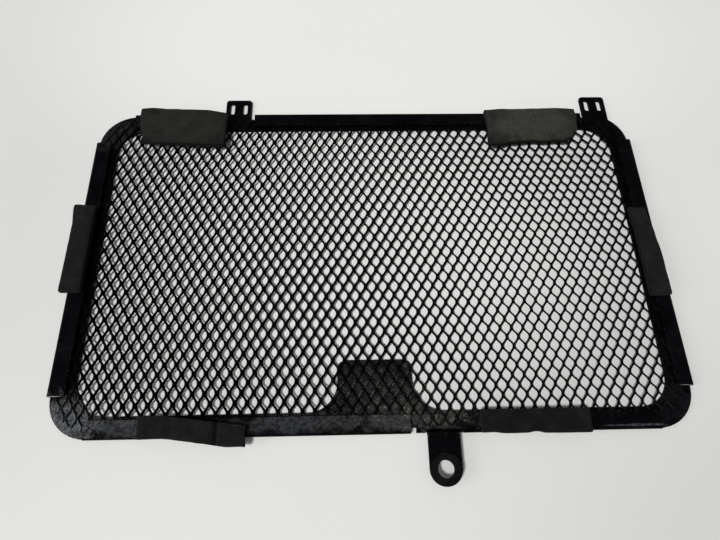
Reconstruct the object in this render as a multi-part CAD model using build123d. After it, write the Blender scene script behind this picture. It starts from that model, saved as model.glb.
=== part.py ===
from build123d import *
import os
from math import cos, hypot, radians, sin, tan

# A motorcycle radiator guard, lying on its front face with its back up. A folded sheet frame clamps a
# sheet of expanded metal under its edges, and carries foam pads that keep it off the radiator.
# Sizes are in millimetres. X runs across, Y up the guard towards the tie tabs, and Z out of its back.

# Folded frame
PANEL_WIDTH = 360.0
PANEL_HEIGHT = 213.0
SHEET = 1.5
CORNER_RADIUS = 22.8
CORNER_SIDE_SETBACK = 1.4
CORNER_END_SETBACK = 0.5
SIDE_BORDER = 14.0
END_BORDER = 12.2
WINDOW_RADIUS = 18.0

# Edges folded back over the mesh
FOLD_LEG = 10.0
FOLD_END_GAP = 0.5

# Expanded metal: the pattern is drawn at a little over twice the pitch of the real strands
MESH_THICKNESS = 1.6
MESH_SHORT_PITCH = 15.3
MESH_LONG_PITCH = 25.1
STRAND_WIDTH = 2.2
MESH_EDGE_PLAY = 1.5
MESH_SELVEDGE = 2.0

# Bare plate that stands into the window
PLATE_WIDTH = 42.0
PLATE_HEIGHT = 29.0
PLATE_CORNER = 5.0
PLATE_FLARE = 17.0

# Two flat tabs with slots for cable ties
TIE_TAB_WIDTH = 17.3
TIE_TAB_CORNER = 2.0
TIE_TAB_LEFT_INSET = 91.9
TIE_TAB_LEFT_RISE = 13.5
TIE_TAB_RIGHT_INSET = 19.6
TIE_TAB_RIGHT_RISE = 15.2
TIE_SLOT_WIDTH = 3.2
TIE_SLOT_LENGTH = 8.8
TIE_SLOT_CORNER = 1.4
TIE_SLOT_SPACING = 8.7
TIE_SLOT_DROP = 7.5
RELIEF_WIDTH = 3.2
RELIEF_DEPTH = 3.3

# Bent tab with the grommet
LUG_OFFSET = 35.8
LUG_WIDTH = 17.4
LUG_FOLD_GAP_LEFT = 8.5
LUG_FOLD_GAP_RIGHT = 2.6
LUG_SLIT = 0.4
LUG_BEND_RADIUS = 1.5
LUG_BEND_ANGLE = 60.0
LUG_STEP = 4.5
LUG_REACH = 17.8
LUG_BEND_CLEARANCE = 0.5

# Rubber grommet
GROMMET_BORE = 9.2
GROMMET_NECK = 12.4
GROMMET_FLANGE = 17.0
GROMMET_LIP = 1.6
GROMMET_CHAMFER = 0.5
GROMMET_CLEARANCE = 0.1

# Foam pads
PAD_THICKNESS = 4.0
PAD_LENGTH = 60.0
SHORT_PAD_LENGTH = 57.5
WIDE_PAD_WIDTH = 26.5
NARROW_PAD_WIDTH = 12.6
TOP_PAD_SETBACK = 0.6
TOP_LEFT_PAD_INSET = 57.3
TOP_LEFT_PAD_TURN = -2.5
TOP_RIGHT_PAD_INSET = 67.7
TOP_RIGHT_PAD_TURN = 1.0
LEFT_PAD_OVERHANG = 2.5
LEFT_PAD_RISE = 4.8
RIGHT_PAD_SETBACK = 2.2
RIGHT_PAD_DROP = 0.7
BOTTOM_PAD_OVERHANG = 0.8
BOTTOM_LEFT_PAD_INSET = 81.5
BOTTOM_RIGHT_PAD_INSET = 93.8
PEEL_START = 14.0
PEEL_ANGLE = 8.0
PEEL_RADIUS = 30.0

# Places that follow from the sizes above
HALF_WIDTH = PANEL_WIDTH / 2
HALF_HEIGHT = PANEL_HEIGHT / 2
FOLD_HEIGHT = 2 * SHEET + MESH_THICKNESS
FOLD_RADIUS = FOLD_HEIGHT / 2
FOLD_SETBACK = CORNER_RADIUS + FOLD_END_GAP
WINDOW_WIDTH = PANEL_WIDTH - 2 * SIDE_BORDER
WINDOW_HEIGHT = PANEL_HEIGHT - 2 * END_BORDER
MESH_WIDTH = PANEL_WIDTH - 2 * (FOLD_RADIUS + MESH_EDGE_PLAY)
MESH_HEIGHT = PANEL_HEIGHT - 2 * (FOLD_RADIUS + MESH_EDGE_PLAY)
TIE_TAB_PLACES = (TIE_TAB_LEFT_INSET - HALF_WIDTH, HALF_WIDTH - TIE_TAB_RIGHT_INSET)
TIE_TAB_TOPS = (HALF_HEIGHT + TIE_TAB_LEFT_RISE, HALF_HEIGHT + TIE_TAB_RIGHT_RISE)
UP = Vector(0, 0, 1)


def box_between(x_range, y_range):
    """A flat rectangle between two limits each way."""
    width = x_range[1] - x_range[0]
    height = y_range[1] - y_range[0]
    centre = Pos((x_range[0] + x_range[1]) / 2, (y_range[0] + y_range[1]) / 2)
    return centre * Rectangle(width, height)


# The straight stretches of each edge that are folded, as limits along that edge
TAB_SIDE = TIE_TAB_WIDTH / 2 + RELIEF_WIDTH
TOP_FOLDS = (
    (FOLD_SETBACK - HALF_WIDTH, TIE_TAB_PLACES[0] - TAB_SIDE),
    (TIE_TAB_PLACES[0] + TAB_SIDE, TIE_TAB_PLACES[1] - TAB_SIDE),
)
BOTTOM_FOLDS = (
    (FOLD_SETBACK - HALF_WIDTH, LUG_OFFSET - LUG_WIDTH / 2 - LUG_FOLD_GAP_LEFT),
    (LUG_OFFSET + LUG_WIDTH / 2 + LUG_FOLD_GAP_RIGHT, HALF_WIDTH - FOLD_SETBACK),
)
SIDE_FOLD = (FOLD_SETBACK - HALF_HEIGHT, HALF_HEIGHT - FOLD_SETBACK)


def window_sketch():
    """The window's outline, with the flared plate left standing at its lower edge."""
    low = -WINDOW_HEIGHT / 2
    plate = box_between((-PLATE_WIDTH / 2, PLATE_WIDTH / 2), (low, low + PLATE_HEIGHT))
    plate = fillet(plate.vertices().group_by(Axis.Y)[-1], PLATE_CORNER)
    window = RectangleRounded(WINDOW_WIDTH, WINDOW_HEIGHT, WINDOW_RADIUS) - plate
    roots = [v for v in window.vertices().group_by(Axis.Y)[0] if abs(v.X) < PLATE_WIDTH]
    return fillet(roots, min(PLATE_FLARE, PLATE_HEIGHT - PLATE_CORNER))


def tie_tab_sketch(x, top):
    """One flat tab, from the border up past the folded edge."""
    tab = box_between(
        (x - TIE_TAB_WIDTH / 2, x + TIE_TAB_WIDTH / 2), (HALF_HEIGHT - END_BORDER, top)
    )
    return fillet(tab.vertices().group_by(Axis.Y)[-1], TIE_TAB_CORNER)


def tie_slots_sketch(x, top):
    """The pair of upright slots that a cable tie passes through."""
    slot = RectangleRounded(TIE_SLOT_WIDTH, TIE_SLOT_LENGTH, TIE_SLOT_CORNER)
    y = top - TIE_SLOT_DROP
    return [Pos(x + side * TIE_SLOT_SPACING / 2, y) * slot for side in (-1, 1)]


def fold_cuts():
    """What the flat sheet loses where an edge turns up, with the notches at the ends of the folds."""
    fold_x = HALF_WIDTH - FOLD_RADIUS
    fold_y = HALF_HEIGHT - FOLD_RADIUS
    notch_y = HALF_HEIGHT - RELIEF_DEPTH
    cuts = [box_between(limits, (fold_y, HALF_HEIGHT)) for limits in TOP_FOLDS]
    cuts += [box_between(limits, (-HALF_HEIGHT, -fold_y)) for limits in BOTTOM_FOLDS]
    cuts.append(box_between((fold_x, HALF_WIDTH), SIDE_FOLD))
    cuts.append(box_between((-HALF_WIDTH, -fold_x), SIDE_FOLD))
    for x in TIE_TAB_PLACES:
        edge = x - TIE_TAB_WIDTH / 2
        cuts.append(box_between((edge - RELIEF_WIDTH, edge), (notch_y, HALF_HEIGHT)))
    left_edge = TIE_TAB_PLACES[0] + TIE_TAB_WIDTH / 2
    cuts.append(box_between((left_edge, left_edge + RELIEF_WIDTH), (notch_y, HALF_HEIGHT)))
    lug_fold = BOTTOM_FOLDS[0][1]
    cuts.append(box_between((lug_fold, lug_fold + RELIEF_WIDTH), (-HALF_HEIGHT, -notch_y)))
    return cuts


def folded_edge(outward, distance, limits):
    """One edge turned through half a circle and back over the mesh."""
    bend = Pos(-FOLD_RADIUS, FOLD_RADIUS)
    legs = (-FOLD_LEG, -FOLD_RADIUS)
    outer = box_between(legs, (0, FOLD_HEIGHT)) + bend * Circle(FOLD_RADIUS)
    inner = box_between(legs, (SHEET, SHEET + MESH_THICKNESS)) + bend * Circle(MESH_THICKNESS / 2)
    along = outward.cross(UP)
    middle = (limits[0] + limits[1]) / 2
    centre = outward * distance + Vector(abs(along.X), abs(along.Y), 0) * middle
    section = Plane(origin=centre, x_dir=outward, z_dir=along) * (outer - inner)
    return extrude(section, (limits[1] - limits[0]) / 2, both=True)


# The bent tab's side view, as distances below the panel's centre and heights
LUG_CENTRE_RADIUS = LUG_BEND_RADIUS + SHEET / 2
LUG_BEND_START = MESH_HEIGHT / 2 + LUG_BEND_CLEARANCE
LUG_FOOT = LUG_BEND_START + LUG_CENTRE_RADIUS * tan(radians(LUG_BEND_ANGLE / 2))
LUG_HEAD = LUG_FOOT + LUG_STEP / tan(radians(LUG_BEND_ANGLE))
LUG_HEIGHT = SHEET / 2 + LUG_STEP
LUG_HOLE_DISTANCE = LUG_HEAD + LUG_REACH
LUG_HOLE = Pos(LUG_OFFSET, -LUG_HOLE_DISTANCE, LUG_HEIGHT)


def lug():
    """The bottom tab: stepped up off the sheet, with a round end and a hole for the grommet."""
    root = (HALF_HEIGHT - END_BORDER, SHEET / 2)
    foot = (LUG_FOOT, SHEET / 2)
    head = (LUG_HEAD, LUG_HEIGHT)
    end = (LUG_HOLE_DISTANCE + LUG_WIDTH / 2, LUG_HEIGHT)
    line = FilletPolyline(root, foot, head, end, radius=LUG_CENTRE_RADIUS)
    side_view = trace(line, line_width=SHEET)
    plane = Plane(origin=(LUG_OFFSET, 0, 0), x_dir=(0, -1, 0), z_dir=(-1, 0, 0))
    strip = extrude(plane * side_view, LUG_WIDTH / 2, both=True)
    waste = box_between((-LUG_WIDTH, LUG_WIDTH), (-LUG_WIDTH, 0)) - Circle(LUG_WIDTH / 2)
    hole = Circle(GROMMET_NECK / 2)
    for cut in (waste, hole):
        strip -= extrude(LUG_HOLE * cut, SHEET, both=True)
    return strip


def frame_panel():
    """The whole folded frame as one piece."""
    sheet = RectangleRounded(
        PANEL_WIDTH - 2 * CORNER_SIDE_SETBACK, PANEL_HEIGHT - 2 * CORNER_END_SETBACK, CORNER_RADIUS
    )
    sheet -= fold_cuts()
    for x, top in zip(TIE_TAB_PLACES, TIE_TAB_TOPS):
        sheet += tie_tab_sketch(x, top)
        sheet -= tie_slots_sketch(x, top)
    sheet -= window_sketch()
    lug_side = LUG_WIDTH / 2 + LUG_SLIT
    sheet -= box_between(
        (LUG_OFFSET - lug_side, LUG_OFFSET + lug_side), (-HALF_HEIGHT, -LUG_BEND_START)
    )
    panel = extrude(sheet, SHEET)
    for limits in TOP_FOLDS:
        panel += folded_edge(Vector(0, 1, 0), HALF_HEIGHT, limits)
    for limits in BOTTOM_FOLDS:
        panel += folded_edge(Vector(0, -1, 0), HALF_HEIGHT, limits)
    for outward in (Vector(1, 0, 0), Vector(-1, 0, 0)):
        panel += folded_edge(outward, HALF_WIDTH, SIDE_FOLD)
    return panel + lug()


def mesh_insert():
    """Expanded metal: two interleaved grids of upright diamonds inside a plain edge."""
    half_short = MESH_SHORT_PITCH / 2
    half_long = MESH_LONG_PITCH / 2
    strand_line = half_short * half_long / hypot(half_short, half_long)
    opening = 1 - STRAND_WIDTH / 2 / strand_line
    reach_x = MESH_WIDTH / 2 - MESH_SELVEDGE
    reach_y = MESH_HEIGHT / 2 - MESH_SELVEDGE
    columns = int(reach_x / half_short) + 1
    rows = int(reach_y / half_long) + 1
    diamonds = []
    for column in range(-columns, columns + 1):
        for row in range(-rows, rows + 1):
            if (column + row) % 2:
                continue
            tips = [
                ((column + side * opening) * half_short, (row + end * opening) * half_long)
                for side, end in ((1, 0), (0, 1), (-1, 0), (0, -1))
            ]
            if all(inside_mesh(x, y, reach_x, reach_y) for x, y in tips):
                diamonds.append(Wire.make_polygon([Vector(x, y, 0) for x, y in tips], close=True))
    outline = RectangleRounded(MESH_WIDTH, MESH_HEIGHT, CORNER_RADIUS).face().outer_wire()
    return Pos(0, 0, SHEET) * extrude(Face(outline, diamonds), MESH_THICKNESS, dir=(0, 0, 1))


def inside_mesh(x, y, reach_x, reach_y):
    """Whether a point keeps clear of the mesh's plain edge, round corners included."""
    past_x = abs(x) - (reach_x - CORNER_RADIUS)
    past_y = abs(y) - (reach_y - CORNER_RADIUS)
    if past_x > 0 and past_y > 0:
        return hypot(past_x, past_y) <= CORNER_RADIUS
    return abs(x) <= reach_x and abs(y) <= reach_y


def rubber_grommet():
    """A grooved ring that grips the bottom tab's hole."""
    bore = GROMMET_BORE / 2
    neck = GROMMET_NECK / 2 - GROMMET_CLEARANCE
    flange = GROMMET_FLANGE / 2
    groove = SHEET / 2
    lip = groove + GROMMET_LIP
    outline = Polyline(
        (bore, -lip), (flange, -lip), (flange, -groove), (neck, -groove),
        (neck, groove), (flange, groove), (flange, lip), (bore, lip), close=True,
    )
    profile = make_face(outline)
    outer_corners = profile.vertices().group_by(Axis.X)[-1]
    rims = [corner for corner in outer_corners if abs(corner.Y) > groove + GROMMET_LIP / 2]
    ring = revolve(Plane.XZ * chamfer(rims, GROMMET_CHAMFER), Axis.Z)
    return LUG_HOLE * ring


def pad(length, width):
    """A straight strip of foam, lying along X on the folded edges."""
    return extrude(Rectangle(length, width), PAD_THICKNESS)


def peeling_pad():
    """The strip that has come loose: its right-hand part slants off the edge."""
    start = -SHORT_PAD_LENGTH / 2
    bend = start + PEEL_START
    bent = SHORT_PAD_LENGTH - PEEL_START
    slant = radians(PEEL_ANGLE)
    line = FilletPolyline(
        (start, 0), (bend, 0), (bend + bent * cos(slant), -bent * sin(slant)), radius=PEEL_RADIUS
    )
    return extrude(trace(line, line_width=NARROW_PAD_WIDTH), PAD_THICKNESS)


def foam_pads():
    """All six pads by name, each on the folded edge that carries it."""
    top = HALF_HEIGHT - TOP_PAD_SETBACK - WIDE_PAD_WIDTH / 2
    bottom = NARROW_PAD_WIDTH / 2 - BOTTOM_PAD_OVERHANG - HALF_HEIGHT
    left = NARROW_PAD_WIDTH / 2 - LEFT_PAD_OVERHANG - HALF_WIDTH
    right = HALF_WIDTH - RIGHT_PAD_SETBACK - NARROW_PAD_WIDTH / 2
    top_left = Pos(TOP_LEFT_PAD_INSET - HALF_WIDTH, top, FOLD_HEIGHT) * Rot(0, 0, TOP_LEFT_PAD_TURN)
    top_right = Pos(HALF_WIDTH - TOP_RIGHT_PAD_INSET, top, FOLD_HEIGHT) * Rot(0, 0, TOP_RIGHT_PAD_TURN)
    upright = Rot(0, 0, 90)
    return {
        "foam_pad_top_left": top_left * pad(SHORT_PAD_LENGTH, WIDE_PAD_WIDTH),
        "foam_pad_top_right": top_right * pad(PAD_LENGTH, WIDE_PAD_WIDTH),
        "foam_pad_left": Pos(left, LEFT_PAD_RISE, FOLD_HEIGHT)
        * upright
        * pad(SHORT_PAD_LENGTH, NARROW_PAD_WIDTH),
        "foam_pad_right": Pos(right, -RIGHT_PAD_DROP, FOLD_HEIGHT)
        * upright
        * pad(PAD_LENGTH, NARROW_PAD_WIDTH),
        "foam_pad_bottom_left": Pos(BOTTOM_LEFT_PAD_INSET - HALF_WIDTH, bottom, FOLD_HEIGHT)
        * peeling_pad(),
        "foam_pad_bottom_right": Pos(HALF_WIDTH - BOTTOM_RIGHT_PAD_INSET, bottom, FOLD_HEIGHT)
        * pad(PAD_LENGTH, NARROW_PAD_WIDTH),
    }


# The origin is the centre of the whole guard's footprint, on the plane of its front face
parts = {"frame_panel": frame_panel(), "mesh_insert": mesh_insert(), "rubber_grommet": rubber_grommet()}
parts.update(foam_pads())
whole = Compound(children=[part.solid() for part in parts.values()]).bounding_box()
to_origin = Pos(-whole.center().X, -whole.center().Y, -whole.min.Z)
os.makedirs("parts", exist_ok=True)
for name, part in parts.items():
    export_step(to_origin * part, f"parts/{name}.step")
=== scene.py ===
from math import ceil, cos, pi, radians, sin

import bpy
import numpy as np
from bpy.props import FloatProperty, FloatVectorProperty, IntProperty, PointerProperty
from mathutils import Matrix, Vector


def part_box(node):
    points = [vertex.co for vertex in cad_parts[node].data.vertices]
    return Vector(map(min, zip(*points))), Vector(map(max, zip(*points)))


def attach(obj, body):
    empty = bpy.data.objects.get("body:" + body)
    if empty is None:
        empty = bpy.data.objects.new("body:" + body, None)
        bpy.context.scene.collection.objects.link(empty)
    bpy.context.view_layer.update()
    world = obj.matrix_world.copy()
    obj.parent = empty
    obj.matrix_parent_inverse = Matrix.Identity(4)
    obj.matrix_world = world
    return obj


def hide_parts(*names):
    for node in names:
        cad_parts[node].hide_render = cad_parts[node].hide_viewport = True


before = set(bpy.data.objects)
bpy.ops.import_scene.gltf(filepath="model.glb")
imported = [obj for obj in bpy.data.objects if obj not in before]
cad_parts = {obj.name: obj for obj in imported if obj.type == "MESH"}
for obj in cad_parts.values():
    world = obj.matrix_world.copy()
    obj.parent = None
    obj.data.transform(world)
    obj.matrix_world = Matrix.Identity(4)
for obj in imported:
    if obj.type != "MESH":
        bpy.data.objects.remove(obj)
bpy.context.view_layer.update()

bl_info = {
    "name": "Radiator guard dresser",
    "version": (1, 0, 0),
    "blender": (4, 5, 0),
    "location": "View3D > Sidebar > Guard",
    "description": "Dresses the packed radiator guard with raised mesh, soft foam and worn finishes",
    "category": "Object",
}

MESH_LOW, MESH_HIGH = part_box("mesh_insert")
PANEL_CENTRE = (MESH_LOW + MESH_HIGH) / 2
PADS = sorted(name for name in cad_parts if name.startswith("foam_pad"))
MM_PER_METRE = 1000
MERGE_DISTANCE = 1e-5
CUT_DISTANCE = 1e-6
TINY_LENGTH = 1e-9
CORNER_FLATS = 6
CREASE_ANGLE = radians(40)
TABLE_GAP = 0.0003
SENSOR_WIDTH = 36.0
NEAREST_SEEN = 0.01


def on_panel(x, y, z=0.0):
    """A place in millimetres from the middle of the panel, as a point of the frame."""
    return Vector((
        PANEL_CENTRE.x + x / MM_PER_METRE, PANEL_CENTRE.y + y / MM_PER_METRE, z / MM_PER_METRE))


class MeshSettings(bpy.types.PropertyGroup):
    """Sizes of the expanded metal"""

    short_pitch: FloatProperty(
        name="Short pitch", description="Step between openings across the guard",
        default=0.00675, min=0.003, precision=5, unit="LENGTH")
    long_pitch: FloatProperty(
        name="Long pitch", description="Step between openings up the guard",
        default=0.01107, min=0.004, precision=5, unit="LENGTH")
    strand_width: FloatProperty(
        name="Strand width", description="Width of a strand across its tilted face",
        default=0.00125, min=0.0005, precision=5, unit="LENGTH")
    strand_thickness: FloatProperty(
        name="Strand thickness", description="Thickness of the slit sheet with its coat",
        default=0.0012, min=0.0002, precision=5, unit="LENGTH")
    strand_tilt: FloatProperty(
        name="Strand tilt", description="How far the strands stand up from the sheet",
        default=radians(56.6), subtype="ANGLE")
    knuckle_length: FloatProperty(
        name="Knuckle length", description="Length over which two strands stay joined",
        default=0.0020, min=0.0005, precision=5, unit="LENGTH")
    bend_ease: FloatProperty(
        name="Bend ease", description="Half the length over which a strand turns at a knuckle",
        default=0.00044, min=0.0001, precision=5, unit="LENGTH")
    turn: FloatProperty(
        name="Turn", description="How far the pattern is turned on the frame",
        default=0.0112, precision=4, subtype="ANGLE")
    opening_place: FloatVectorProperty(
        name="Opening's place", description="Centre of one opening, from the middle of the panel",
        size=2, default=(-0.00392, -0.00461), precision=5, unit="LENGTH")
    corner_radius: FloatProperty(
        name="Corner radius", description="Radius of the cut corners", default=0.0228,
        precision=4, unit="LENGTH")
    clamp_width: FloatProperty(
        name="Clamped width", description="Width of the rim that the folded edges press flat",
        default=0.0056, precision=4, unit="LENGTH")
    clamp_fade: FloatProperty(
        name="Clamp fade", description="Distance over which the rim rises to the open mesh",
        default=0.009, precision=4, unit="LENGTH")


class FoamSettings(bpy.types.PropertyGroup):
    """How the foam pads are made soft"""

    voxel: FloatProperty(
        name="Skin step", description="Size of the skin's faces before they are divided",
        default=0.0009, min=0.0004, precision=4, unit="LENGTH")
    slack: FloatProperty(
        name="Slack", description="How much smaller each pad starts on every side",
        default=0.0005, precision=4, unit="LENGTH")
    pressure: FloatProperty(
        name="Pressure", description="Pressure that swells the skin", default=4.0)
    frames: IntProperty(
        name="Frames", description="Steps of the swelling", default=20, min=2)
    swell_cap: FloatProperty(
        name="Swell cap", description="Farthest that any point of the skin may move",
        default=0.0006, precision=4, unit="LENGTH")
    lump_size: FloatProperty(
        name="Lump size", description="Width of the lumps in the skin",
        default=0.005, precision=4, unit="LENGTH")
    lump_height: FloatProperty(
        name="Lump height", description="Height of the lumps in the skin",
        default=0.0004, precision=4, unit="LENGTH")
    lump_rise: FloatProperty(
        name="Lump rise", description="Height above the glued side at which the lumps are full",
        default=0.0015, precision=4, unit="LENGTH")
    colour: FloatVectorProperty(
        name="Foam colour", description="Colour of clean foam",
        size=4, subtype="COLOR", min=0, max=1, default=(0.0098, 0.0096, 0.0092, 1))
    worn_colour: FloatVectorProperty(
        name="Worn foam colour", description="Colour of foam that is rubbed and dusty",
        size=4, subtype="COLOR", min=0, max=1, default=(0.058, 0.057, 0.047, 1))


class FinishSettings(bpy.types.PropertyGroup):
    """Colours of the coat, the rubber, what lies on them, and the painted glint at the hem ends"""

    coat_colour: FloatVectorProperty(
        name="Coat colour", description="Colour of the powder coat",
        size=4, subtype="COLOR", min=0, max=1, default=(0.0014, 0.0015, 0.0020, 1))
    rubber_colour: FloatVectorProperty(
        name="Rubber colour", description="Colour of the grommet",
        size=4, subtype="COLOR", min=0, max=1, default=(0.0024, 0.0025, 0.0028, 1))
    dust_colour: FloatVectorProperty(
        name="Dust colour", description="Colour of road dust",
        size=4, subtype="COLOR", min=0, max=1, default=(0.20, 0.21, 0.22, 1))
    soil_colour: FloatVectorProperty(
        name="Soil colour", description="Colour of caked soil",
        size=4, subtype="COLOR", min=0, max=1, default=(0.086, 0.090, 0.076, 1))
    fleck_colour: FloatVectorProperty(
        name="Fleck colour", description="Colour of loose sandy flecks",
        size=4, subtype="COLOR", min=0, max=1, default=(0.24, 0.22, 0.17, 1))
    bare_colour: FloatVectorProperty(
        name="Bare metal colour", description="Colour of metal where the coat is rubbed off",
        size=4, subtype="COLOR", min=0, max=1, default=(0.30, 0.30, 0.30, 1))
    # A painted glint: the bright colour of the lines at the hem ends
    end_glint_colour: FloatVectorProperty(
        name="Cut metal colour", description="Colour of bright metal at a cut end",
        size=4, subtype="COLOR", min=0, max=1, default=(0.85, 0.85, 0.85, 1))


class StageSettings(bpy.types.PropertyGroup):
    """Table, light and camera"""

    table_size: FloatProperty(
        name="Table size", description="Length of the table's sides", default=8.0, unit="LENGTH")
    table_colour: FloatVectorProperty(
        name="Table colour", description="Colour of the pale table",
        size=4, subtype="COLOR", min=0, max=1, default=(0.76, 0.765, 0.74, 1))
    lamp_power: FloatProperty(
        name="Lamp power", description="Power of the ceiling lamp", default=1592.0, unit="POWER")
    lamp_size: FloatProperty(
        name="Lamp size", description="Length of the ceiling lamp's sides", default=2.4, unit="LENGTH")
    lamp_place: FloatVectorProperty(
        name="Lamp place", description="Where the ceiling lamp hangs", size=3, default=(-4.94, -4.29, 13.0),
        subtype="TRANSLATION")
    window_power: FloatProperty(
        name="Window power", description="Power of the soft light from the side", default=220.0,
        unit="POWER")
    window_size: FloatProperty(
        name="Window size", description="Length of the soft light's sides", default=5.0, unit="LENGTH")
    window_place: FloatVectorProperty(
        name="Window place", description="Where the soft light hangs", size=3, default=(-8.0, -2.0, 4.4),
        subtype="TRANSLATION")
    sky_strength: FloatProperty(
        name="Room light", description="Strength of the light from all round", default=0.20)
    backdrop: FloatProperty(
        name="Backdrop", description="How pale the room looks behind the table", default=0.74)
    lens: FloatProperty(
        name="Lens", description="Focal length on a 36 mm sensor", default=27.05, unit="CAMERA")
    eye: FloatVectorProperty(
        name="Eye", description="Where the camera stands, from the middle of the panel",
        size=3, default=(-0.01555, -0.13783, 0.3056), subtype="TRANSLATION")
    azimuth: FloatProperty(
        name="Azimuth", description="Turn of the view from +Y towards +X",
        default=radians(3.92), subtype="ANGLE")
    drop: FloatProperty(
        name="Drop", description="How far the view looks down", default=radians(67.10), subtype="ANGLE")
    roll: FloatProperty(
        name="Roll", description="Turn of the picture", default=radians(2.88), subtype="ANGLE")


def only(obj):
    """Select one object alone and make it the active one."""
    bpy.ops.object.select_all(action="DESELECT")
    obj.select_set(True)
    bpy.context.view_layer.objects.active = obj


def apply_modifier(obj, kind, **options):
    """Put a modifier on an object and apply it at once."""
    modifier = obj.modifiers.new(kind.title(), kind)
    for name, value in options.items():
        setattr(modifier, name, value)
    only(obj)
    bpy.ops.object.modifier_apply(modifier=modifier.name)


def points_of(obj):
    """All the points of a mesh as rows of x, y and z."""
    found = np.empty(len(obj.data.vertices) * 3, np.float32)
    obj.data.vertices.foreach_get("co", found)
    return found.reshape(-1, 3)


def select_points(obj, wanted):
    """Leave exactly the wanted points of a mesh selected, and go into edit mode."""
    only(obj)
    bpy.ops.object.mode_set(mode="EDIT")
    bpy.ops.mesh.select_mode(type="VERT")
    bpy.ops.mesh.select_all(action="DESELECT")
    bpy.ops.object.mode_set(mode="OBJECT")
    obj.data.vertices.foreach_set("select", np.asarray(wanted, bool))
    bpy.ops.object.mode_set(mode="EDIT")


def select_faces(obj, wanted):
    """Leave exactly the faces that a test wants selected, and go into edit mode."""
    only(obj)
    bpy.ops.object.mode_set(mode="EDIT")
    bpy.ops.mesh.select_mode(type="FACE")
    bpy.ops.mesh.select_all(action="DESELECT")
    bpy.ops.object.mode_set(mode="OBJECT")
    for face in obj.data.polygons:
        face.select = wanted(face)
    bpy.ops.object.mode_set(mode="EDIT")


def settle(obj, name, node, material):
    """Name a finished piece, give it its finish and let it ride in place of its solid."""
    obj.name = name
    obj.data.name = name
    obj.data.materials.clear()
    obj.data.materials.append(material)
    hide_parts(node)
    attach(obj, "root")


def put(tree, kind, inputs=None, **options):
    """Add a node, set its options, and fill its inputs with values or links."""
    made = tree.nodes.new(kind)
    for name, value in options.items():
        setattr(made, name, value)
    for name, value in (inputs or {}).items():
        socket = made.inputs[name]
        if isinstance(value, bpy.types.NodeSocket):
            tree.links.new(value, socket)
        else:
            socket.default_value = value
    return made


def maths(tree, operation, a, b=0.0, clamp=False):
    """The result of one sum on two values or sockets."""
    return put(tree, "ShaderNodeMath", {0: a, 1: b}, operation=operation, use_clamp=clamp).outputs[0]


def ramp(tree, value, low, high, to_low=0.0, to_high=1.0):
    """A value spread smoothly from one range to another."""
    inputs = {"Value": value, "From Min": low, "From Max": high, "To Min": to_low, "To Max": to_high}
    node = put(tree, "ShaderNodeMapRange", inputs, interpolation_type="SMOOTHSTEP")
    return node.outputs["Result"]


def blend_colours(tree, share, first, second):
    """One colour laid over another by a mask."""
    node = put(tree, "ShaderNodeMix", {0: share}, data_type="RGBA")
    for index, colour in ((6, first), (7, second)):
        if isinstance(colour, bpy.types.NodeSocket):
            tree.links.new(colour, node.inputs[index])
        else:
            node.inputs[index].default_value = colour
    return node.outputs[2]


def noise(tree, vector, scale, detail=2.0, roughness=0.5):
    """Soft random values of one grain size."""
    inputs = {"Vector": vector, "Scale": scale, "Detail": detail, "Roughness": roughness}
    return put(tree, "ShaderNodeTexNoise", inputs).outputs[0]


def vector_maths(tree, operation, *given):
    """One step of arithmetic on vectors."""
    return put(tree, "ShaderNodeVectorMath", dict(enumerate(given)), operation=operation)


def facing_of(tree):
    """The parts of the surface's own direction along X, Y and Z."""
    normal = tree.nodes.new("ShaderNodeNewGeometry").outputs["Normal"]
    return put(tree, "ShaderNodeSeparateXYZ", {0: normal}).outputs


def new_group(name, inputs, outputs):
    """A shader node group with named sockets, its input node and its output node."""
    group = bpy.data.node_groups.new(name, "ShaderNodeTree")
    for socket, kind, default in inputs:
        made = group.interface.new_socket(socket, in_out="INPUT", socket_type=kind)
        if default is not None:
            made.default_value = default
    for socket, kind in outputs:
        group.interface.new_socket(socket, in_out="OUTPUT", socket_type=kind)
    return group, group.nodes.new("NodeGroupInput").outputs, group.nodes.new("NodeGroupOutput").inputs


def placed(tree, group, **inputs):
    """The outputs of a node group that is placed in a tree and fed."""
    return put(tree, "ShaderNodeGroup", inputs, node_tree=group).outputs


def grain_group():
    """The fine skin of a coat or rubber: a height for bump and a slow change of shade."""
    group, given, result = new_group(
        "Skin grain",
        [("Vector", "NodeSocketVector", None), ("Scale", "NodeSocketFloat", 1200.0)],
        [("Height", "NodeSocketFloat"), ("Shade", "NodeSocketFloat")],
    )
    slow_share = 0.06
    fine = noise(group, given["Vector"], given["Scale"], detail=3.0, roughness=0.6)
    slow_scale = maths(group, "MULTIPLY", given["Scale"], slow_share)
    slow = noise(group, given["Vector"], slow_scale, detail=3.0, roughness=0.6)
    group.links.new(fine, result["Height"])
    group.links.new(slow, result["Shade"])
    return group


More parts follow.
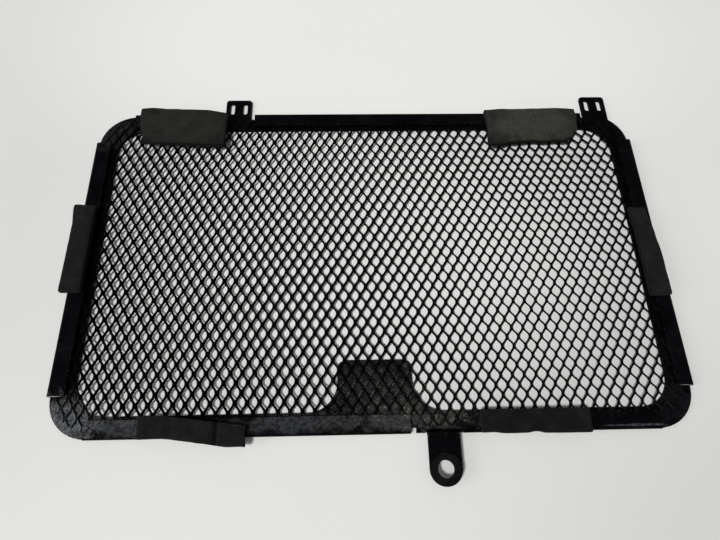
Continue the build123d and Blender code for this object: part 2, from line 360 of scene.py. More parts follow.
def dust_group():
    """Dust on what faces up: an uneven film in patches, and loose flecks."""
    group, given, result = new_group(
        "Settled dust",
        [("Vector", "NodeSocketVector", None), ("Scale", "NodeSocketFloat", 60.0),
         ("Cover", "NodeSocketFloat", 0.3)],
        [("Film", "NodeSocketFloat"), ("Flecks", "NodeSocketFloat")],
    )
    streak_scale = maths(group, "MULTIPLY", given["Scale"], 5.0)
    fine_scale = maths(group, "MULTIPLY", given["Scale"], 10.0)
    wide = noise(group, given["Vector"], given["Scale"], detail=4.0, roughness=0.65)
    streaks = noise(group, given["Vector"], streak_scale, detail=3.0, roughness=0.6)
    fine = noise(group, given["Vector"], fine_scale, detail=3.0, roughness=0.6)
    lifted = maths(group, "ADD", wide, maths(group, "MULTIPLY", given["Cover"], 0.5))
    patches = ramp(group, lifted, 0.58, 0.92)
    streaky = ramp(group, streaks, 0.28, 0.75, to_low=0.4, to_high=1.15)
    speckled = ramp(group, fine, 0.3, 0.7, to_low=0.5, to_high=1.4)
    uneven = maths(group, "MULTIPLY", streaky, speckled)
    settled = ramp(group, facing_of(group)["Z"], 0.55, 0.97, to_low=0.1)
    film = maths(group, "MULTIPLY", maths(group, "MULTIPLY", patches, uneven), settled, clamp=True)
    specks = maths(group, "MULTIPLY", ramp(group, fine, 0.6, 0.72), patches)
    flecks = maths(group, "MULTIPLY", specks, settled)
    group.links.new(film, result["Film"])
    group.links.new(flecks, result["Flecks"])
    return group


def spot_group():
    """A ragged patch round one place."""
    group, given, result = new_group(
        "Ragged spot",
        [("Vector", "NodeSocketVector", None), ("Centre", "NodeSocketVector", None),
         ("Reach", "NodeSocketVector", None), ("Ragged", "NodeSocketFloat", 0.6),
         ("Scale", "NodeSocketFloat", 150.0)],
        [("Mask", "NodeSocketFloat")],
    )
    offset = vector_maths(group, "SUBTRACT", given["Vector"], given["Centre"]).outputs[0]
    scaled = vector_maths(group, "DIVIDE", offset, given["Reach"]).outputs[0]
    distance = vector_maths(group, "LENGTH", scaled).outputs["Value"]
    wander = noise(group, given["Vector"], given["Scale"], detail=4.0, roughness=0.7)
    uneven = maths(group, "SUBTRACT", wander, 0.5)
    ragged = maths(group, "MULTIPLY", given["Ragged"], 3.0)
    shifted = maths(group, "ADD", distance, maths(group, "MULTIPLY", uneven, ragged))
    group.links.new(ramp(group, shifted, 1.0, 0.35), result["Mask"])
    return group


def wear_group():
    """The edges of a piece, and the patches of them where the coat is rubbed thin."""
    group, given, result = new_group(
        "Rubbed edges",
        [("Vector", "NodeSocketVector", None), ("Radius", "NodeSocketFloat", 0.0005),
         ("Amount", "NodeSocketFloat", 0.5)],
        [("Mask", "NodeSocketFloat"), ("Edge", "NodeSocketFloat")],
    )
    soft = put(group, "ShaderNodeBevel", {"Radius": given["Radius"]}, samples=4).outputs["Normal"]
    true = group.nodes.new("ShaderNodeNewGeometry").outputs["Normal"]
    same = vector_maths(group, "DOT_PRODUCT", soft, true).outputs["Value"]
    edge = ramp(group, same, 0.97, 0.80)
    patchy = ramp(group, noise(group, given["Vector"], 420.0, detail=4.0, roughness=0.7), 0.5, 0.68)
    worn = maths(group, "MULTIPLY", maths(group, "MULTIPLY", edge, patchy), given["Amount"])
    group.links.new(worn, result["Mask"])
    group.links.new(edge, result["Edge"])
    return group


GROUPS = {}


def groups():
    """The node groups that the finishes share, made once."""
    if not GROUPS:
        GROUPS.update(grain=grain_group(), dust=dust_group(), spot=spot_group(), wear=wear_group())
    return GROUPS


def new_material(name):
    """An empty material, with its tree, its shader and the place on the object."""
    material = bpy.data.materials.new(name)
    material.use_nodes = True
    tree = material.node_tree
    shader = tree.nodes["Principled BSDF"]
    place = tree.nodes.new("ShaderNodeTexCoord").outputs["Object"]
    return material, tree, shader, place


def feed(tree, shader, colour, roughness, height, distance, strength=1.0):
    """Link a finish to its shader."""
    bump = put(tree, "ShaderNodeBump", {"Height": height, "Distance": distance, "Strength": strength})
    tree.links.new(colour, shader.inputs["Base Color"])
    tree.links.new(roughness, shader.inputs["Roughness"])
    tree.links.new(bump.outputs["Normal"], shader.inputs["Normal"])


# Where dirt, wear, pale lines on the strands, a painted sheen streak, painted glints at the hem ends,
# painted highlight and shade on the foam, and painted shade and light on the table lie, in millimetres from
# the middle of the panel: centre, reach and strength
DUST_AND_SHEEN_PLACES = (
    ((-167, -98, 3), (26, 19, 30), 3.0),
    ((-168, 92, 3), (22, 18, 30), 0.5),
    ((168, -94, 3), (18, 16, 30), 0.15),
    ((-130, -100, 3), (30, 7.5, 30), 1.2),
    ((-42, -100, 3), (44, 7.5, 30), 0.9),
    ((8, -100, 3), (32, 7.0, 30), 0.8),
    # A painted sheen streak: a thin pale line along the lower edge of the bottom-right fold, drawn with the
    # dust colour
    ((142, -104.4, 5), (22, 0.8, 30), 1.4),
)
SOILED_PLACES = (
    ((2, -84, 2), (40, 30, 30), 0.42),
    ((14, -93, 2), (26, 8, 30), 0.95),
    ((36, -96, 2), (24, 12, 30), 0.9),
)
# Pale lines along the upper strand edges over the badge plate
PALE_LINE_PLACES = (((4, -88, 3), (40, 20, 30), 1.0),)
# Painted glints: bright lines on the front faces of the two side hems' lower ends
PAINTED_GLINT_ENDS = (
    ((-175.5, -82.6, 3), (5.5, 1.5, 6), 1.0),
    ((175, -83, 3), (4.0, 1.5, 6), 0.5),
)
WORN_AND_HIGHLIT_FOAM_PLACES = (
    ((112, 94, 8), (44, 22, 30), 1.0),
    ((-122, 94, 8), (44, 24, 30), 0.28),
    # The last two paint a pale line along the top edge of the bottom-left pad's lifted flap, a painted
    # highlight
    ((-80.6, -99.2, 8), (3.0, 0.9, 30), 0.5),
    ((-74.5, -100.8, 8), (4.0, 0.9, 30), 0.4),
)
DARKER_FOAM_AND_CREASE_SHADE = (
    # The bottom-right pad, darker all over
    ((86, -102, 8), (50, 18, 30), 0.55),
    # Painted shade: a thin dark line in the crease of the bottom-left pad
    ((-85.2, -104, 8), (1.3, 16, 30), 1.0),
)
# Painted shade: broad soft darker patches on the table, towards the bottom right and the left
TABLE_PAINTED_SHADE = (
    ((330, -240, 0), (380, 280, 200), 1.25),
    ((-310, 60, 0), (230, 300, 200), 0.6),
)
# Painted light: broad soft paler patches on the table, above the guard and under it
TABLE_PAINTED_LIGHT = (
    ((10, 180, 0), (320, 160, 200), 0.5),
    ((-15, 15, 0), (200, 130, 200), 1.0),
)


def spots_mask(tree, place, spots, ragged):
    """All the ragged spots of one kind as one mask."""
    total = None
    for centre, reach, strength in spots:
        mask = placed(
            tree, groups()["spot"], Vector=place, Centre=on_panel(*centre),
            Reach=Vector(reach) / MM_PER_METRE, Ragged=ragged)["Mask"]
        mask = maths(tree, "MULTIPLY", mask, strength)
        total = mask if total is None else maths(tree, "MAXIMUM", total, mask)
    return total


def shades_of(colour, low, high):
    """A darker and a paler shade of one colour."""
    return [tuple(share * c for c in colour[:3]) + (1,) for share in (low, high)]


# How strongly dust, soil and flecks show, and how much they roughen and raise a coat
LOOSE_DUST = 0.02
SETTLED_DUST = 0.2
SOIL_SHARE = 0.66
FLECK_SHARE = 1.3
DUST_ROUGHNESS = 1.6
CLUMP_HEIGHT = 3.0
RUBBER_BLOOM = 0.03
FOAM_DUST = 0.03


def dirt_masks(tree, place, caking):
    """Where a coat has a film of dust with a painted sheen streak in it, caked soil and loose flecks."""
    loose = placed(tree, groups()["dust"], Vector=place, Scale=45.0, Cover=0.25)
    thick = placed(tree, groups()["dust"], Vector=place, Scale=75.0, Cover=0.80)
    # The dust places hold one painted sheen streak too
    dusty = spots_mask(tree, place, DUST_AND_SHEEN_PLACES, ragged=0.6)
    settled = maths(tree, "MULTIPLY", maths(tree, "MULTIPLY", dusty, thick["Film"]), SETTLED_DUST)
    film = maths(tree, "ADD", maths(tree, "MULTIPLY", loose["Film"], LOOSE_DUST), settled, clamp=True)
    caked = placed(tree, groups()["dust"], Vector=place, Scale=95.0, Cover=0.85)
    soiled = maths(tree, "MULTIPLY", spots_mask(tree, place, SOILED_PLACES, ragged=0.7), caking)
    soil_film = maths(tree, "MULTIPLY", caked["Film"], SOIL_SHARE)
    soil = maths(tree, "MULTIPLY", soiled, soil_film, clamp=True)
    loose_flecks = maths(tree, "MULTIPLY", caked["Flecks"], FLECK_SHARE)
    flecks = maths(tree, "MULTIPLY", soiled, loose_flecks, clamp=True)
    return film, soil, flecks


def rubbed_mask(tree, place, facing, wear, wear_radius, pale_line_places):
    """Patches of rubbed edges, or, at given places, pale lines along the upper edges of strands that rise
    to the right.
    """
    worn = placed(tree, groups()["wear"], Vector=place, Radius=wear_radius, Amount=wear)
    if not pale_line_places:
        return worn["Mask"]
    slanted = ramp(tree, maths(tree, "MULTIPLY", facing["X"], facing["Y"]), -0.02, -0.10)
    upper = ramp(tree, facing["Z"], 0.60, 0.75)
    edges = maths(tree, "MULTIPLY", worn["Edge"], maths(tree, "MULTIPLY", slanted, upper))
    lines = maths(tree, "MULTIPLY", edges, wear)
    return maths(tree, "MULTIPLY", lines, spots_mask(tree, place, pale_line_places, ragged=0.6), clamp=True)


def coat_material(name, finish, grain_scale, caking, wear, wear_radius, pale_line_places=None):
    """Satin black powder coat with dust, a painted sheen streak, soil, rubbed edges or pale lines on
    strands, and painted glints at the hem ends.
    """
    material, tree, shader, place = new_material(name)
    grain = placed(tree, groups()["grain"], Vector=place, Scale=grain_scale)
    shades = shades_of(finish.coat_colour, 0.6, 1.5)
    coat = blend_colours(tree, ramp(tree, grain["Shade"], 0.3, 0.7), *shades)
    film, soil, flecks = dirt_masks(tree, place, caking)
    facing = facing_of(tree)
    rubbed = rubbed_mask(tree, place, facing, wear, wear_radius, pale_line_places)
    # Painted glints: faces turned to the front at the hem ends go bright
    frontward = ramp(tree, facing["Y"], -0.6, -0.9)
    ends = maths(tree, "MULTIPLY", spots_mask(tree, place, PAINTED_GLINT_ENDS, ragged=0.2), frontward)
    colour = blend_colours(tree, film, coat, tuple(finish.dust_colour))
    colour = blend_colours(tree, soil, colour, tuple(finish.soil_colour))
    colour = blend_colours(tree, flecks, colour, tuple(finish.fleck_colour))
    colour = blend_colours(tree, rubbed, colour, tuple(finish.bare_colour))
    colour = blend_colours(tree, ends, colour, tuple(finish.end_glint_colour))
    cover = maths(tree, "MAXIMUM", film, maths(tree, "MAXIMUM", soil, flecks))
    satin = ramp(tree, grain["Shade"], 0.25, 0.75, to_low=0.30, to_high=0.44)
    roughness = maths(tree, "ADD", satin, maths(tree, "MULTIPLY", cover, DUST_ROUGHNESS), clamp=True)
    clumps = maths(tree, "MULTIPLY", maths(tree, "ADD", soil, flecks), CLUMP_HEIGHT)
    height = maths(tree, "ADD", grain["Height"], clumps)
    feed(tree, shader, colour, roughness, height, distance=0.00005, strength=0.5)
    shader.inputs["Specular IOR Level"].default_value = 0.012
    return material


def rubber_material(finish):
    """Matt black rubber with a bloom of dust."""
    material, tree, shader, place = new_material("black_rubber")
    grain = placed(tree, groups()["grain"], Vector=place, Scale=1800.0)
    shades = shades_of(finish.rubber_colour, 0.7, 1.4)
    rubber = blend_colours(tree, ramp(tree, grain["Shade"], 0.3, 0.7), *shades)
    bloom = placed(tree, groups()["dust"], Vector=place, Scale=260.0, Cover=0.5)["Film"]
    film = maths(tree, "MULTIPLY", bloom, RUBBER_BLOOM)
    colour = blend_colours(tree, film, rubber, tuple(finish.dust_colour))
    roughness = ramp(tree, grain["Shade"], 0.2, 0.8, to_low=0.62, to_high=0.85)
    feed(tree, shader, colour, roughness, grain["Height"], distance=0.00004, strength=0.6)
    shader.inputs["Specular IOR Level"].default_value = 0.025
    return material


def foam_material(foam, finish):
    """Charcoal foam: fine open cells, rubbed paler on top in some places, with dust in them; painted shade
    on its sides, in its pores and in a crease, a painted highlight on a lifted flap edge, and the
    bottom-right pad darker.
    """
    material, tree, shader, place = new_material("charcoal_foam")
    cells = put(tree, "ShaderNodeTexVoronoi", {"Vector": place, "Scale": 1500.0}).outputs["Distance"]
    grain = placed(tree, groups()["grain"], Vector=place, Scale=700.0)
    mottle = noise(tree, place, 110.0, detail=5.0, roughness=0.7)
    drawn_out = put(tree, "ShaderNodeMapping", {"Vector": place, "Scale": (0.12, 1, 1)}).outputs[0]
    brushed = maths(tree, "SUBTRACT", noise(tree, drawn_out, 900.0, detail=3.0, roughness=0.6), 0.5)
    uneven = maths(tree, "ADD", mottle, maths(tree, "MULTIPLY", grain["Height"], 0.35))
    uneven = maths(tree, "ADD", uneven, maths(tree, "MULTIPLY", brushed, 0.5))
    clean = blend_colours(tree, ramp(tree, uneven, 0.45, 0.95), *shades_of(foam.colour, 0.75, 1.5))
    facing = facing_of(tree)["Z"]
    upward = ramp(tree, facing, 0.1, 0.7)
    # Worn paler tops, and a painted highlight along the lifted flap's edge
    worn = maths(tree, "MULTIPLY", spots_mask(tree, place, WORN_AND_HIGHLIT_FOAM_PLACES, ragged=0.25), upward)
    worn = maths(tree, "MULTIPLY", worn, ramp(tree, uneven, 0.4, 0.85, to_low=0.55))
    colour = blend_colours(tree, worn, clean, tuple(foam.worn_colour))
    # Painted shade: the pads' sides, turned away from the top, go darker
    deep, _ = shades_of(foam.colour, 0.43, 1)
    colour = blend_colours(tree, ramp(tree, facing, 0.75, 0.2), colour, deep)
    # The bottom-right pad darker, and painted shade in the bottom-left pad's crease
    colour = blend_colours(tree, spots_mask(tree, place, DARKER_FOAM_AND_CREASE_SHADE, ragged=0.1), colour, deep)
    # Painted shade: the pores of the foam go darker
    pore_shade = ramp(tree, cells, 0.25, 0.7, to_high=0.5)
    colour = blend_colours(tree, pore_shade, colour, deep)
    dust = placed(tree, groups()["dust"], Vector=place, Scale=120.0, Cover=0.35)["Film"]
    film = maths(tree, "MULTIPLY", dust, FOAM_DUST)
    colour = blend_colours(tree, film, colour, tuple(finish.dust_colour))
    roughness = ramp(tree, mottle, 0.2, 0.8, to_low=0.88)
    height = maths(tree, "SUBTRACT", grain["Height"], cells)
    feed(tree, shader, colour, roughness, height, distance=0.00025, strength=0.8)
    shader.inputs["Specular IOR Level"].default_value = 0.03
    shader.inputs["Sheen Weight"].default_value = 0.03
    shader.inputs["Sheen Roughness"].default_value = 0.6
    return material


class GUARD_OT_frame_coat(bpy.types.Operator):
    """Give the folded frame its worn powder coat and the grommet its rubber"""

    bl_idname = "guard.frame_coat"
    bl_label = "Frame coat and rubber"

    def execute(self, context):
        finish = context.scene.guard_finish
        coat = coat_material(
            "black_coat", finish, grain_scale=1300.0, caking=1.0, wear=0.35, wear_radius=0.0005)
        rubber = rubber_material(finish)
        for node, material in (("frame_panel", coat), ("rubber_grommet", rubber)):
            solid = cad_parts[node]
            solid.data.materials.clear()
            solid.data.materials.append(material)
        return {"FINISHED"}


def strand_link(mesh):
    """One length of strand, from the end of a knuckle to the end of the next one on that side."""
    across = Vector((cos(mesh.strand_tilt), 0, -sin(mesh.strand_tilt)))
    half = across * mesh.strand_width / 2
    sway = Vector((-mesh.short_pitch / 2, 0, 0)) + 2 * half
    slope = mesh.long_pitch / 2 - mesh.knuckle_length
    eased = mesh.bend_ease / slope
    straight = mesh.knuckle_length - 2 * mesh.bend_ease
    bpy.ops.object.select_all(action="DESELECT")
    bpy.ops.mesh.primitive_plane_add(
        size=1, location=Vector((0, straight / 2, 0)) - half, rotation=(pi / 2, mesh.strand_tilt, 0))
    link = bpy.context.object
    link.scale = (mesh.strand_width, mesh.strand_thickness, 1)
    bpy.ops.object.transform_apply(location=True, rotation=True, scale=True)
    bpy.ops.object.mode_set(mode="EDIT")
    bpy.ops.mesh.select_all(action="SELECT")
    bend = 2 * mesh.bend_ease
    run = slope - bend
    for direction in (1, -1):
        for share, length in ((eased, bend), (1 - 2 * eased, run), (eased, bend), (0, straight)):
            step = direction * share * sway + Vector((0, length, 0))
            bpy.ops.mesh.extrude_region_move(TRANSFORM_OT_translate={"value": step})
    bpy.ops.object.mode_set(mode="OBJECT")
    far_knuckle = mesh.long_pitch
    near_knuckle = mesh.long_pitch / 2
    end_facing = 0.95
    side_place = 0.4 * mesh.strand_width
    at_knuckle = straight / 4

    def is_joined(face):
        """The end sections, and the sides that meet the neighbouring strands at the knuckles."""
        if abs(face.normal.y) > end_facing:
            return True
        y = face.center.y
        if abs(y - far_knuckle) < at_knuckle:
            return (face.center + half).dot(across) > side_place
        if abs(y - near_knuckle) < at_knuckle:
            return (face.center + half - sway).dot(across) < -side_place
        return False

    select_faces(link, is_joined)
    bpy.ops.mesh.delete(type="FACE")
    bpy.ops.object.mode_set(mode="OBJECT")
    return link


def trim(obj, spots):
    """Cut a mesh along planes, each given by a point and an outward direction, and close the cuts."""
    only(obj)
    bpy.ops.object.mode_set(mode="EDIT")
    bpy.ops.mesh.select_mode(type="FACE")
    for point, outward in spots:
        bpy.ops.mesh.select_all(action="SELECT")
        bpy.ops.mesh.bisect(
            plane_co=point, plane_no=outward, use_fill=True, clear_outer=True, threshold=CUT_DISTANCE)
    bpy.ops.object.mode_set(mode="OBJECT")


def outline_planes(radius):
    """The planes round the mesh's outline, with its corners as a few flats each."""
    reach = (MESH_HIGH - MESH_LOW) / 2
    into_quarter = 1e-4
    planes = []
    for quarter in range(4):
        for flat in range(CORNER_FLATS):
            angle = (quarter + flat / CORNER_FLATS) * pi / 2
            outward = Vector((cos(angle), sin(angle), 0))
            side_x = 1 if cos(angle + into_quarter) > 0 else -1
            side_y = 1 if sin(angle + into_quarter) > 0 else -1
            centre = PANEL_CENTRE + Vector((side_x * (reach.x - radius), side_y * (reach.y - radius), 0))
            planes.append((centre + outward * radius, outward))
    return planes


def press_rim(obj, mesh):
    """Press the rim flat, as the folded edges do, and let it rise towards the open mesh."""
    points = points_of(obj)
    heights = points[:, 2]
    raised = float(heights.max() - heights.min())
    share = (MESH_HIGH.z - MESH_LOW.z) / raised
    width = mesh.clamp_width
    rim = (np.abs(points[:, 0] - PANEL_CENTRE.x) > (MESH_HIGH.x - MESH_LOW.x) / 2 - width)
    rim |= (np.abs(points[:, 1] - PANEL_CENTRE.y) > (MESH_HIGH.y - MESH_LOW.y) / 2 - width)
    select_points(obj, rim)
    bpy.ops.transform.resize(
        value=(1, 1, share), center_override=(0, 0, MESH_LOW.z), use_proportional_edit=True,
        proportional_edit_falloff="SMOOTH", proportional_size=mesh.clamp_fade)
    bpy.ops.object.mode_set(mode="OBJECT")


class GUARD_OT_expanded_mesh(bpy.types.Operator):
    """Raise the strands of the expanded metal, repeat them over the guard and trim them to its outline"""

    bl_idname = "guard.expanded_mesh"
    bl_label = "Expanded mesh"

    def execute(self, context):
        mesh = context.scene.guard_mesh
        size = MESH_HIGH - MESH_LOW
        spare = 3
        columns = ceil(size.x / mesh.short_pitch) + spare
        rows = ceil(size.y / mesh.long_pitch) + spare
        strand = strand_link(mesh)
        strand.location = (-(columns // 2) * mesh.short_pitch, -(rows // 2 + 0.5) * mesh.long_pitch, 0)
        bpy.ops.object.transform_apply(location=True)
        steps = (
            (rows, (0, mesh.long_pitch, 0)),
            (2, (mesh.short_pitch / 2, mesh.long_pitch / 2, 0)),
            (columns, (mesh.short_pitch, 0, 0)),
        )
        for count, step in steps:
            apply_modifier(
                strand, "ARRAY", count=count, use_relative_offset=False, use_constant_offset=True,
                constant_offset_displace=step, use_merge_vertices=True, merge_threshold=MERGE_DISTANCE)
        points = points_of(strand)
        lift = MESH_LOW.z - float(points[:, 2].min())
        place = PANEL_CENTRE + Vector((*mesh.opening_place, 0))
        strand.location = (place.x, place.y, lift)
        strand.rotation_euler = (0, 0, mesh.turn)
        only(strand)
        bpy.ops.object.transform_apply(location=True, rotation=True)
        trim(strand, outline_planes(mesh.corner_radius))
        press_rim(strand, mesh)
        only(strand)
        bpy.ops.object.mode_set(mode="EDIT")
        bpy.ops.mesh.select_all(action="SELECT")
        bpy.ops.mesh.normals_make_consistent(inside=False)
        bpy.ops.object.mode_set(mode="OBJECT")
        bpy.ops.object.shade_smooth_by_angle(angle=CREASE_ANGLE)
        finish = context.scene.guard_finish
        coat = coat_material(
            "black_mesh", finish, grain_scale=1600.0, caking=0.12, wear=2.6, wear_radius=0.00035,
            pale_line_places=PALE_LINE_PLACES)
        settle(strand, "raised_mesh", "mesh_insert", coat)
        return {"FINISHED"}


def pad_skin(node, foam):
    """A closed copy of a pad's solid, a little smaller, with an even skin of small faces."""
    skin = bpy.data.objects.new(f"soft_{node}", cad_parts[node].data.copy())
    bpy.context.scene.collection.objects.link(skin)
    only(skin)
    bpy.ops.object.mode_set(mode="EDIT")
    bpy.ops.mesh.select_all(action="SELECT")
    bpy.ops.mesh.remove_doubles(threshold=MERGE_DISTANCE)
    bpy.ops.mesh.normals_make_consistent(inside=False)
    bpy.ops.transform.shrink_fatten(value=-foam.slack)
    bpy.ops.object.mode_set(mode="OBJECT")
    skin.data.remesh_voxel_size = foam.voxel
    bpy.ops.object.voxel_remesh()
    return skin


# How wear has pulled the pads about, in millimetres from the middle of the panel:
# the pad, the middle and half size of the patch that is pulled, its shift and how far the pull reaches
PULLS = (
    ("foam_pad_top_left", (-150, 107), (3.0, 3.0), (-1.4, 1.2, 0), 14.0),
    ("foam_pad_top_left", (-124, 107), (14.0, 3.0), (0, 2.0, 0), 18.0),
    ("foam_pad_top_left", (-151, 80), (3.0, 3.0), (2.6, 0.0, 0), 12.0),
    ("foam_pad_top_right", (83, 105), (3.0, 3.0), (-1.8, 0.6, 0), 16.0),
    ("foam_pad_top_right", (112, 106), (20.0, 3.0), (0, 1.1, 0), 10.0),
    ("foam_pad_top_right", (143, 92), (2.0, 5.0), (0.8, 0, 0), 10.0),
    ("foam_pad_top_right", (86, 80), (4.0, 3.0), (-2.0, -1.8, 0), 14.0),
    ("foam_pad_top_right", (142, 104.5), (3.0, 3.0), (1.4, 0.2, 0), 9.0),
    ("foam_pad_top_right", (143, 80.5), (2.5, 2.5), (-3.2, 2.2, 0), 7.0),
    ("foam_pad_top_right", (96, 79), (1.6, 2.0), (0, 1.2, -1.2), 3.5),
    ("foam_pad_top_right", (111, 79.6), (2.2, 2.0), (0, 1.4, -1.4), 4.5),
    ("foam_pad_top_right", (127, 80.2), (1.6, 1.8), (0, 1.3, -1.2), 3.5),
    ("foam_pad_right", (177, 29), (3.0, 3.0), (-2.2, -0.8, 0), 16.0),
    ("foam_pad_right", (178, -15), (2.0, 12.0), (1.0, 0, 0), 12.0),
    ("foam_pad_left", (-183, 33), (3.0, 3.0), (-0.8, 1.2, 0), 10.0),
    ("foam_pad_left", (-184, 4), (4.0, 28.0), (-0.7, 0, 0), 6.0),
    ("foam_pad_bottom_left", (-85.3, -104), (0.6, 13.0), (0, 0, -2.4), 1.6),
    ("foam_pad_bottom_left", (-71, -113.5), (2.0, 2.0), (1.6, 1.0, 0), 7.0),
    ("foam_pad_bottom_right", (76, -108), (5.0, 2.0), (0, -0.8, 0), 9.0),
    ("foam_pad_bottom_right", (103, -107), (12.0, 2.5), (0, -1.0, 0), 8.0),
)


def pull(skin, middle, half, shift, reach):
    """Pull one patch of a pad's skin about, and let it draw what is near it along."""
    points = points_of(skin)
    offset = np.abs(points[:, :2] - np.array(on_panel(*middle)[:2]))
    wanted = (offset <= np.array(half) / MM_PER_METRE).all(axis=1)
    if shift[2]:
        wanted &= points[:, 2] > (points[:, 2].min() + points[:, 2].max()) / 2
    if not wanted.any():
        raise RuntimeError(f"no skin to pull at {middle}")
    select_points(skin, wanted)
    bpy.ops.transform.translate(
        value=Vector(shift) / MM_PER_METRE, use_proportional_edit=True,
        proportional_edit_falloff="SMOOTH", proportional_size=reach / MM_PER_METRE)
    bpy.ops.object.mode_set(mode="OBJECT")


def roughen(skin, foam, seat):
    """Make a pad's skin uneven, all but where it is stuck to its seat."""
    lumps = bpy.data.textures.new("foam_lumps", "CLOUDS")
    lumps.noise_scale = foam.lump_size
    loose = skin.vertex_groups.new(name="loose")
    for index, height in enumerate(points_of(skin)[:, 2]):
        loose.add([index], min(1.0, max(0.0, (float(height) - seat) / foam.lump_rise)), "REPLACE")
    apply_modifier(
        skin, "DISPLACE", texture=lumps, texture_coords="LOCAL", strength=foam.lump_height, mid_level=0.5,
        vertex_group=loose.name)
    skin.vertex_groups.clear()


def swell(obj, foam):
    """Swell a pad's skin as cloth under pressure, with a limit on how far it moves."""
    scene = bpy.context.scene
    rest = points_of(obj).copy()
    cloth = obj.modifiers.new("Swell", "CLOTH")
    cloth.settings.use_pressure = True
    cloth.settings.uniform_pressure_force = foam.pressure
    cloth.settings.effector_weights.gravity = 0
    cloth.point_cache.frame_start = 1
    cloth.point_cache.frame_end = foam.frames
    for step in range(1, foam.frames + 1):
        scene.frame_set(step)
    only(obj)
    bpy.ops.object.modifier_apply(modifier=cloth.name)
    scene.frame_set(1)
    moved = points_of(obj) - rest
    length = np.maximum(np.linalg.norm(moved, axis=1, keepdims=True), TINY_LENGTH)
    capped = rest + moved * np.minimum(1, foam.swell_cap / length)
    obj.data.vertices.foreach_set("co", capped.astype(np.float32).ravel())
    obj.data.update()


class GUARD_OT_foam_pads(bpy.types.Operator):
    """Make the six foam pads soft, each in the place of its solid"""

    bl_idname = "guard.foam_pads"
    bl_label = "Foam pads"

    def execute(self, context):
        foam = context.scene.guard_foam
        material = foam_material(foam, context.scene.guard_finish)
        for node in PADS:
            skin = pad_skin(node, foam)
            for pad, *how in PULLS:
                if pad == node:
                    pull(skin, *how)
            swell(skin, foam)
            roughen(skin, foam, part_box(node)[0].z)
            apply_modifier(skin, "SUBSURF", levels=1, render_levels=1)
            only(skin)
            bpy.ops.object.shade_smooth()
            settle(skin, f"soft_{node}", node, material)
        return {"FINISHED"}


def table_material(stage):
    """A pale table top with the faintest mottle, and painted shade and painted light in broad soft patches.
    """
    material, tree, shader, place = new_material("pale_table")
    base = tuple(stage.table_colour)
    shade, plain = shades_of(base, 0.97, 1)
    mottle = ramp(tree, noise(tree, place, 3.0, detail=3.0), 0.35, 0.65)
    colour = blend_colours(tree, mottle, shade, plain)
    dim, bright = shades_of(base, 0.86, 1.2)
    # Painted shade and painted light laid on the table's colour
    colour = blend_colours(tree, spots_mask(tree, place, TABLE_PAINTED_SHADE, ragged=0.0), colour, dim)
    colour = blend_colours(tree, spots_mask(tree, place, TABLE_PAINTED_LIGHT, ragged=0.0), colour, bright)
    tree.links.new(colour, shader.inputs["Base Color"])
    shader.inputs["Roughness"].default_value = 0.6
    shader.inputs["Specular IOR Level"].default_value = 0.2
    return material


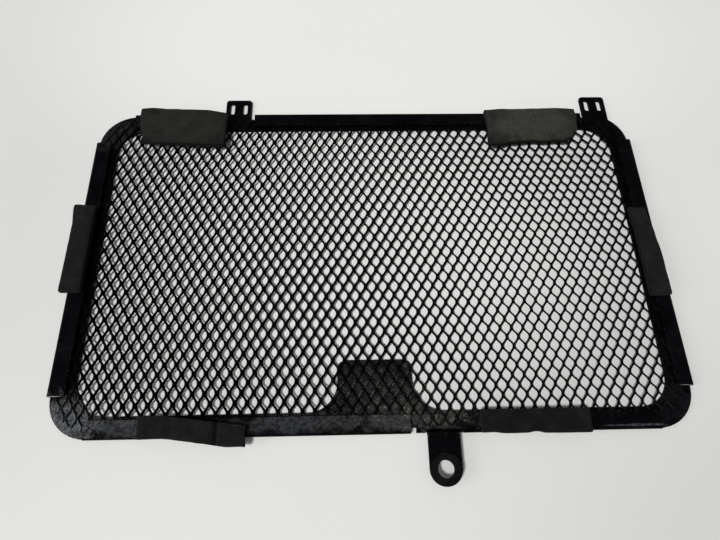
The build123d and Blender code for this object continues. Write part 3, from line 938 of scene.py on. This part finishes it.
class GUARD_OT_stage(bpy.types.Operator):
    """Lay the pale table, hang the lamps, light the room and set the camera"""

    bl_idname = "guard.stage"
    bl_label = "Table, light and camera"

    def execute(self, context):
        stage = context.scene.guard_stage
        bpy.ops.object.select_all(action="DESELECT")
        bpy.ops.mesh.primitive_plane_add(size=stage.table_size, location=(0, 0, -TABLE_GAP))
        table = context.object
        table.name = "table_top"
        bpy.ops.object.transform_apply(location=True)
        table.data.materials.append(table_material(stage))
        self.add_lamp(context, "ceiling_lamp", stage.lamp_place, stage.lamp_size, stage.lamp_power)
        self.add_lamp(context, "soft_window", stage.window_place, stage.window_size, stage.window_power)
        self.add_room(context, stage)
        self.add_camera(context, stage)
        context.scene.view_settings.view_transform = "Standard"
        return {"FINISHED"}

    def add_lamp(self, context, name, place, size, power):
        """Hang one square lamp that faces the guard."""
        bpy.ops.object.light_add(type="AREA", location=place)
        lamp = context.object
        lamp.name = name
        lamp.data.energy = power
        lamp.data.shape = "SQUARE"
        lamp.data.size = size
        lamp.rotation_euler = (PANEL_CENTRE - Vector(place)).to_track_quat("-Z", "Y").to_euler()

    def add_room(self, context, stage):
        """Fill the room with soft light, and let it look pale behind the table."""
        world = bpy.data.worlds.new("room")
        context.scene.world = world
        world.use_nodes = True
        tree = world.node_tree
        ray = tree.nodes.new("ShaderNodeLightPath").outputs
        mirrored = maths(tree, "ADD", ray["Is Glossy Ray"], ray["Is Transmission Ray"])
        seen = maths(tree, "ADD", ray["Is Camera Ray"], mirrored, clamp=True)
        extra = maths(tree, "MULTIPLY", seen, stage.backdrop - stage.sky_strength)
        room = tree.nodes["Background"]
        room.inputs["Color"].default_value = (1, 1, 1, 1)
        tree.links.new(maths(tree, "ADD", extra, stage.sky_strength), room.inputs["Strength"])

    def add_camera(self, context, stage):
        """Stand the camera where the picture was taken from."""
        ahead = Vector((
            sin(stage.azimuth) * cos(stage.drop), cos(stage.azimuth) * cos(stage.drop), -sin(stage.drop)))
        level = Vector((cos(stage.azimuth), -sin(stage.azimuth), 0))
        over = level.cross(ahead)
        right = cos(stage.roll) * level + sin(stage.roll) * over
        up = cos(stage.roll) * over - sin(stage.roll) * level
        bpy.ops.object.camera_add()
        camera = context.object
        camera.name = "camera_main"
        camera.data.lens = stage.lens
        camera.data.sensor_width = SENSOR_WIDTH
        camera.data.clip_start = NEAREST_SEEN
        turn = Matrix((right, up, -ahead)).transposed().to_4x4()
        place = Vector((PANEL_CENTRE.x, PANEL_CENTRE.y, 0)) + Vector(stage.eye)
        camera.matrix_world = Matrix.Translation(place) @ turn
        context.scene.camera = camera


class GUARD_PT_build(bpy.types.Panel):
    """Buttons that dress the guard, piece by piece"""

    bl_idname = "GUARD_PT_build"
    bl_label = "Radiator guard"
    bl_space_type = "VIEW_3D"
    bl_region_type = "UI"
    bl_category = "Guard"

    def draw(self, context):
        for step in STEPS:
            self.layout.operator(step.bl_idname)
        for settings in SETTINGS:
            box = self.layout.box()
            group = getattr(context.scene, settings)
            for name in group.__annotations__:
                box.prop(group, name)


SETTINGS = {
    "guard_mesh": MeshSettings,
    "guard_foam": FoamSettings,
    "guard_finish": FinishSettings,
    "guard_stage": StageSettings,
}
STEPS = (GUARD_OT_stage, GUARD_OT_frame_coat, GUARD_OT_expanded_mesh, GUARD_OT_foam_pads)
CLASSES = (*SETTINGS.values(), *STEPS, GUARD_PT_build)


def register():
    """Make the settings, operators and panel known."""
    for made in CLASSES:
        bpy.utils.register_class(made)
    for name, settings in SETTINGS.items():
        setattr(bpy.types.Scene, name, PointerProperty(type=settings))


def unregister():
    """Take the settings, operators and panel away again."""
    for name in SETTINGS:
        delattr(bpy.types.Scene, name)
    for made in reversed(CLASSES):
        bpy.utils.unregister_class(made)


def main():
    """Dress the guard from start to end."""
    register()
    bpy.ops.guard.stage()
    bpy.ops.guard.frame_coat()
    bpy.ops.guard.expanded_mesh()
    bpy.ops.guard.foam_pads()


if __name__ == "__main__":
    main()
